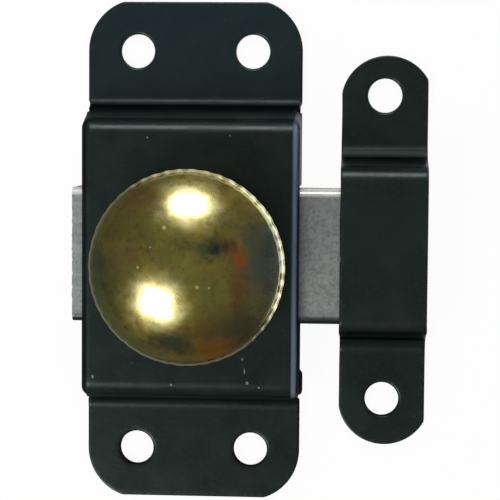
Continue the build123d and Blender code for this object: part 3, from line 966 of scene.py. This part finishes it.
def zincPlate(z):
    # darker towards the keeper, with a painted shadow beside the case's edge and painted shade
    # along the lower bend, and a whitish painted sheen along the upper bend
    f = Finish("zinc_plate_finish")
    across, along, up = f.axes()
    farCover, shadowCover = z["darkCover"]
    lower = f.reach(along, z["lowerBend"], 1, 0)
    paintedSheen = f.times(f.reach(along, z["upperBend"]), f.reach(up, z["sheenUp"]))
    colour = f.mottled(z["light"], z["blotches"])
    colour = f.blend(f.reach(across, z["lengthAcross"], 0, farCover), colour, z["darkZinc"])
    # painted shadow of the case's edge on the bolt
    colour = f.blend(f.reach(across, z["shadowAcross"], shadowCover, 0), colour, z["darkZinc"])
    # painted shade along the lower bend
    colour = f.blend(lower, colour, z["darkZinc"])
    # painted sheen along the upper bend: lighter and less metallic
    f.give("Base Color", f.blend(paintedSheen, colour, z["paintedSheen"]))
    metal = f.calc("MAXIMUM", f.reach(across, z["lengthAcross"], *z["metallic"]), lower)
    f.give("Metallic", f.times(metal, f.step(paintedSheen, 0, 1, 1, z["sheenMetallic"])))
    f.give("Roughness", f.uneven(*z["rough"]))
    f.relief(z["relief"])
    return f.material


brassSet = {
    "brass": tone(166, 146, 60),
    "deep": tone(70, 68, 36),
    "blotches": (
        (6, 4, 0.6, 0.38, 0.64, 1, tone(138, 132, 50)),
        (2.2, 5, 0.8, 0.5, 0.72, 0.6, tone(132, 92, 36)),
        (1.3, 4, 0.5, 0.55, 0.75, 0.7, tone(96, 110, 54)),
        (0.8, 5, 0.4, 0.52, 0.8, 0.6, tone(70, 68, 36)),
    ),
    "rough": (2.4, 5, 0.3, 0.75, 0.24, 0.37),
    "relief": ((0.5, 4, even, 0.0025), (3.2, 3, even, 0.012)),
    "scratchAndRimHighlight": tone(236, 224, 170),
    "speckRag": (0.1, 0.3),  # how ragged, and the size of that in millimetres
    "patchRag": (0.32, 0.5),  # the same, but as a share of the patch's size
    "deepCover": 0.55,
    "edge": (11.55, 11.68),  # distance from the knob's middle where its outer edge is painted lighter, a painted highlight
    "edgeCover": 0.75,
    "coatRough": 0.08,  # of the thin clear film over the brass
    # two painted highlights round the lamps' reflections, two painted reflections of the room near the rim,
    # then the tarnish: place, size, colour, cover, stretch
    "lightPatchesAndTarnish": (
        ((1.02, 6.87, 18.43), 3.5, tone(232, 220, 168), 0.75, (1.25, 1, 1.5)),
        ((-2.81, -4.78, 19.83), 3.6, tone(232, 220, 168), 0.75, (1.1, 1.1, 1.5)),
        # painted reflections of the room near the rim: bluish grey at the right, green at the left
        ((10.0, 0.2, 17.0), 4.2, tone(92, 106, 100), 0.85, (0.75, 1.7, 2)),
        ((-10.4, -1.4, 16.4), 2.5, tone(84, 104, 80), 0.65, (0.6, 2.3, 2)),
        # then the tarnish
        ((-7.2, 0.0, 18.5), 2.0, tone(166, 134, 80), 0.5, (0.9, 1.2, 1)),
        ((-5.9, 7.4, 16.4), 3.0, tone(158, 122, 62), 0.6, (1.3, 0.8, 1.4)),
        ((6.9, -3.2, 18.6), 1.7, tone(132, 88, 26), 0.75, (0.75, 2.9, 2)),
        ((5.6, -7.6, 18.0), 2.8, tone(124, 96, 34), 0.7, (1.2, 1.0, 1.6)),
        ((3.0, -8.6, 18.3), 2.2, tone(134, 94, 30), 0.65, (1, 1, 1.6)),
        ((4.2, -10.7, 16.5), 2.5, tone(206, 128, 18), 0.9, (1.5, 0.75, 2)),
        ((-1.2, -9.6, 17.9), 2.7, tone(66, 78, 50), 0.8, (1.2, 0.8, 1.6)),
        ((8.0, -8.2, 16.0), 3.2, tone(92, 86, 58), 0.8, (1, 1.2, 1.8)),
        ((7.1, 0.5, 19.0), 1.2, tone(196, 104, 16), 0.9, (0.9, 1.3, 1.5)),
        ((6.4, 2.0, 19.1), 0.8, tone(112, 60, 22), 0.7, (0.8, 1.2, 1.5)),
        ((3.9, 1.9, 19.9), 1.9, tone(64, 82, 44), 0.9, (1.15, 0.95, 1.5)),
        ((4.3, 1.6, 19.8), 0.85, tone(30, 42, 26), 0.9, (1.1, 1, 1.5)),
        ((5.5, 1.9, 19.4), 0.7, tone(84, 42, 14), 0.7, (0.7, 1.3, 1.5)),
    ),
    # small scratches: place, size
    "specks": (
        ((-1.8, 4.1, 19.6), 0.3),
        ((-3.4, 1.8, 19.9), 0.16),
        ((-4.9, -0.6, 19.7), 0.22),
        ((2.2, -2.8, 20.4), 0.26),
        ((3.6, -2.9, 20.2), 0.18),
    ),
}


def knobBrass(b):
    f = Finish("tarnished_brass_finish")
    colour = f.mottled(b["brass"], b["blotches"])
    rag, ragShare = b["patchRag"]
    # painted highlights, painted reflections and tarnish, laid one by one
    for place, size, patchColour, cover, stretch in b["lightPatchesAndTarnish"]:
        patch = f.spot(place, size, rag, size * ragShare, stretch)
        colour = f.blend(f.times(patch, cover), colour, patchColour)
    for place, size in b["specks"]:
        colour = f.blend(f.spot(place, size, *b["speckRag"]), colour, b["scratchAndRimHighlight"])
    colour = f.blend(f.times(f.mark("deep"), b["deepCover"]), colour, b["deep"])
    # painted highlight: the outer edge is painted bright, as a thin light line round the rim
    fromMiddle = f.vector("SUBTRACT", f.where, [v * mm for v in (*knobSet["middle"], 0)])
    radius = f.vector("LENGTH", f.vector("MULTIPLY", fromMiddle, (1, 1, 0)))
    f.give("Base Color", f.blend(f.reach(radius, b["edge"], 0, b["edgeCover"]), colour, b["scratchAndRimHighlight"]))
    f.give("Metallic", 1.0)
    f.give("Roughness", f.uneven(*b["rough"]))
    f.give("Coat Weight", 1.0)
    f.give("Coat Roughness", b["coatRough"])
    f.give("Coat IOR", 1.5)
    f.relief(b["relief"])
    return f.material


steelSet = {
    "light": tone(176, 176, 172),
    "blotches": (
        (1.2, 5, 0, 0.35, 0.68, 1, tone(128, 128, 124)),
        (0.8, 4, 0, 0.64, 0.78, 0.5, tone(110, 72, 46)),
    ),
    "rough": (0.9, 3, 0.3, 0.7, 0.28, 0.48),
    "stemRings": 0.2,
    "backRings": 0.6,
    "ringDepth": 0.006,
}


def plainSteel(name, s, ringSize):
    f = Finish(name)
    f.give("Base Color", f.mottled(s["light"], s["blotches"]))
    f.give("Metallic", 1.0)
    f.give("Roughness", f.uneven(*s["rough"]))
    f.relief(((ringSize, 2, (6, 6, 1), s["ringDepth"]),))
    return f.material


blackFinish = blackPaint(paintSet)
zincFinish = zincPlate(zincSet)
brassFinish = knobBrass(brassSet)
stemFinish = plainSteel("turned_steel_finish", steelSet, steelSet["stemRings"])
backFinish = plainSteel("pressed_steel_finish", steelSet, steelSet["backRings"])
print("materials are made")

for piece, body, node, finish, slot in (
    (case, "mounting", "case", blackFinish, "black_paint"),
    (keeper, "mounting", "keeper", blackFinish, "black_paint"),
    (bolt, "slider", "bolt", zincFinish, "zinc_plate"),
    (knobCap, "slider", "knob_cap", brassFinish, "knob_brass"),
):
    piece.data.materials.append(finish)
    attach(piece, body)
    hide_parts(node)
for node, finish in (("knob_back", backFinish), ("knob_stud", stemFinish), ("spring_washer", stemFinish)):
    for materialSlot in nodes[node].material_slots:
        materialSlot.material = finish


# Floor and light
studioSet = {
    "halfFloor": 1500,
    "floorHeight": -0.02,
    "white": (0.94, 0.94, 0.94, 1),
    "cameraGlow": 0.95,  # share of even white that the camera sees, over the shadow
    "glossGlow": 0.85,  # and that a reflection finds on the lit part
    "shade": (0.2, 0.21, 0.19, 1),  # of the unlit part, in a reflection
    "litFrom": (5, 40),  # X + Y where the lit part starts and is full
    "nearOut": (68, 90),  # distance from the middle where both bright parts end
    "window": (0.80, 0.88, 1.0, 1),  # the floor to the right, in reflections only
    "windowStrength": 4.0,
    "windowFrom": (31, 47),  # X + windowLean of Y where it starts and is full
    "windowLean": 0.27,
    "overhead": (0.31, 0.31, 0.30, 1),
    "horizon": (0.13, 0.14, 0.15, 1),
    "lampTarget": (0, -1, 18),  # the knob
    "lampAway": 400,
    "lampRadiance": 8.0,
    "lampColour": (1.0, 0.99, 0.96),
    # degrees round from X, down from straight up and of roll, then width and height
    "lamps": {
        "top_box": {"azimuth": 91, "fromUp": 60.5, "roll": 0, "size": (204, 146)},
        "left_box": {"azimuth": -130, "fromUp": 46.5, "roll": 28, "size": (186, 186)},
    },
}


def makeFloor(setting):
    # A plain square, which is lit and shaded as white to all but the camera and reflections
    edge, height = setting["halfFloor"] * mm, setting["floorHeight"] * mm
    corners = [(x * edge, y * edge, height) for x, y in ((-1, -1), (1, -1), (1, 1), (-1, 1))]
    mesh = bpy.data.meshes.new("floor")
    mesh.from_pydata(corners, [], [(0, 1, 2, 3)])
    floor = bpy.data.objects.new("floor", mesh)
    bpy.context.scene.collection.objects.link(floor)
    f = Finish("floor_white")
    f.tree.nodes.remove(f.shader)
    path = f.add("ShaderNodeLightPath")
    mirror = f.calc("MAXIMUM", path.outputs["Is Glossy Ray"], path.outputs["Is Transmission Ray"])
    # in a reflection the floor is white to the right and behind, out to a short way from the bolt,
    # and dark elsewhere
    across, along, _ = f.axes()
    near = f.reach(f.vector("LENGTH", f.where), setting["nearOut"], 1, 0)
    lit = f.times(f.reach(f.calc("ADD", across, along), setting["litFrom"]), near)
    shaded = f.times(mirror, f.calc("SUBTRACT", 1.0, lit))
    plain = f.add("ShaderNodeBsdfDiffuse")
    f.join(f.blend(shaded, setting["white"], setting["shade"]), plain.inputs["Color"])
    # farther to the right it is bright and bluish there, as beside a window
    leaning = f.calc("ADD", across, f.times(along, setting["windowLean"]))
    bright = f.times(mirror, f.reach(leaning, setting["windowFrom"]), near)
    glow = f.add("ShaderNodeEmission")
    f.join(f.blend(bright, (1, 1, 1, 1), setting["window"]), glow.inputs["Color"])
    f.join(f.step(bright, 0, 1, 1, setting["windowStrength"]), glow.inputs["Strength"])
    mirrorShare = f.calc("MAXIMUM", f.times(mirror, lit, setting["glossGlow"]), bright)
    cameraShare = f.times(path.outputs["Is Camera Ray"], setting["cameraGlow"])
    mix = f.add("ShaderNodeMixShader")
    f.join(f.calc("ADD", cameraShare, mirrorShare, True), mix.inputs["Fac"])
    f.join(plain.outputs[0], mix.inputs[1])
    f.join(glow.outputs[0], mix.inputs[2])
    f.join(mix.outputs[0], f.tree.nodes["Material Output"].inputs["Surface"])
    mesh.materials.append(f.material)


def makeLamp(name, setting, azimuth, fromUp, roll, size):
    # A softbox that faces the knob; its power is radiance times its area times pi
    data = bpy.data.lights.new(name, "AREA")
    data.shape = "RECTANGLE"
    data.size, data.size_y = size[0] * mm, size[1] * mm
    data.energy = setting["lampRadiance"] * math.pi * size[0] * size[1] * mm * mm
    data.color = setting["lampColour"]
    lamp = bpy.data.objects.new(name, data)
    bpy.context.scene.collection.objects.link(lamp)
    up, around = math.radians(fromUp), math.radians(azimuth)
    aim = Vector((math.sin(up) * math.cos(around), math.sin(up) * math.sin(around), math.cos(up)))
    place = Matrix.Translation((Vector(setting["lampTarget"]) + aim * setting["lampAway"]) * mm)
    facing = aim.to_track_quat("Z", "Y").to_matrix().to_4x4()
    lamp.matrix_world = place @ facing @ Matrix.Rotation(math.radians(roll), 4, "Z")


def makeRoom(setting):
    # The room is lighter overhead and dim towards the horizon
    world = bpy.data.worlds.new("studio")
    bpy.context.scene.world = world
    world.use_nodes = True
    nodes, links = world.node_tree.nodes, world.node_tree.links
    where = nodes.new("ShaderNodeTexCoord")
    split = nodes.new("ShaderNodeSeparateXYZ")
    mix = nodes.new("ShaderNodeMix")
    mix.data_type = "RGBA"
    mix.inputs["A"].default_value = setting["horizon"]
    mix.inputs["B"].default_value = setting["overhead"]
    links.new(where.outputs["Generated"], split.inputs[0])
    links.new(split.outputs["Z"], mix.inputs["Factor"])
    links.new(mix.outputs["Result"], nodes["Background"].inputs["Color"])
    bpy.context.scene.view_settings.view_transform = "Standard"


makeFloor(studioSet)
for name, values in studioSet["lamps"].items():
    makeLamp(name, studioSet, **values)
makeRoom(studioSet)
print("floor and light are set")
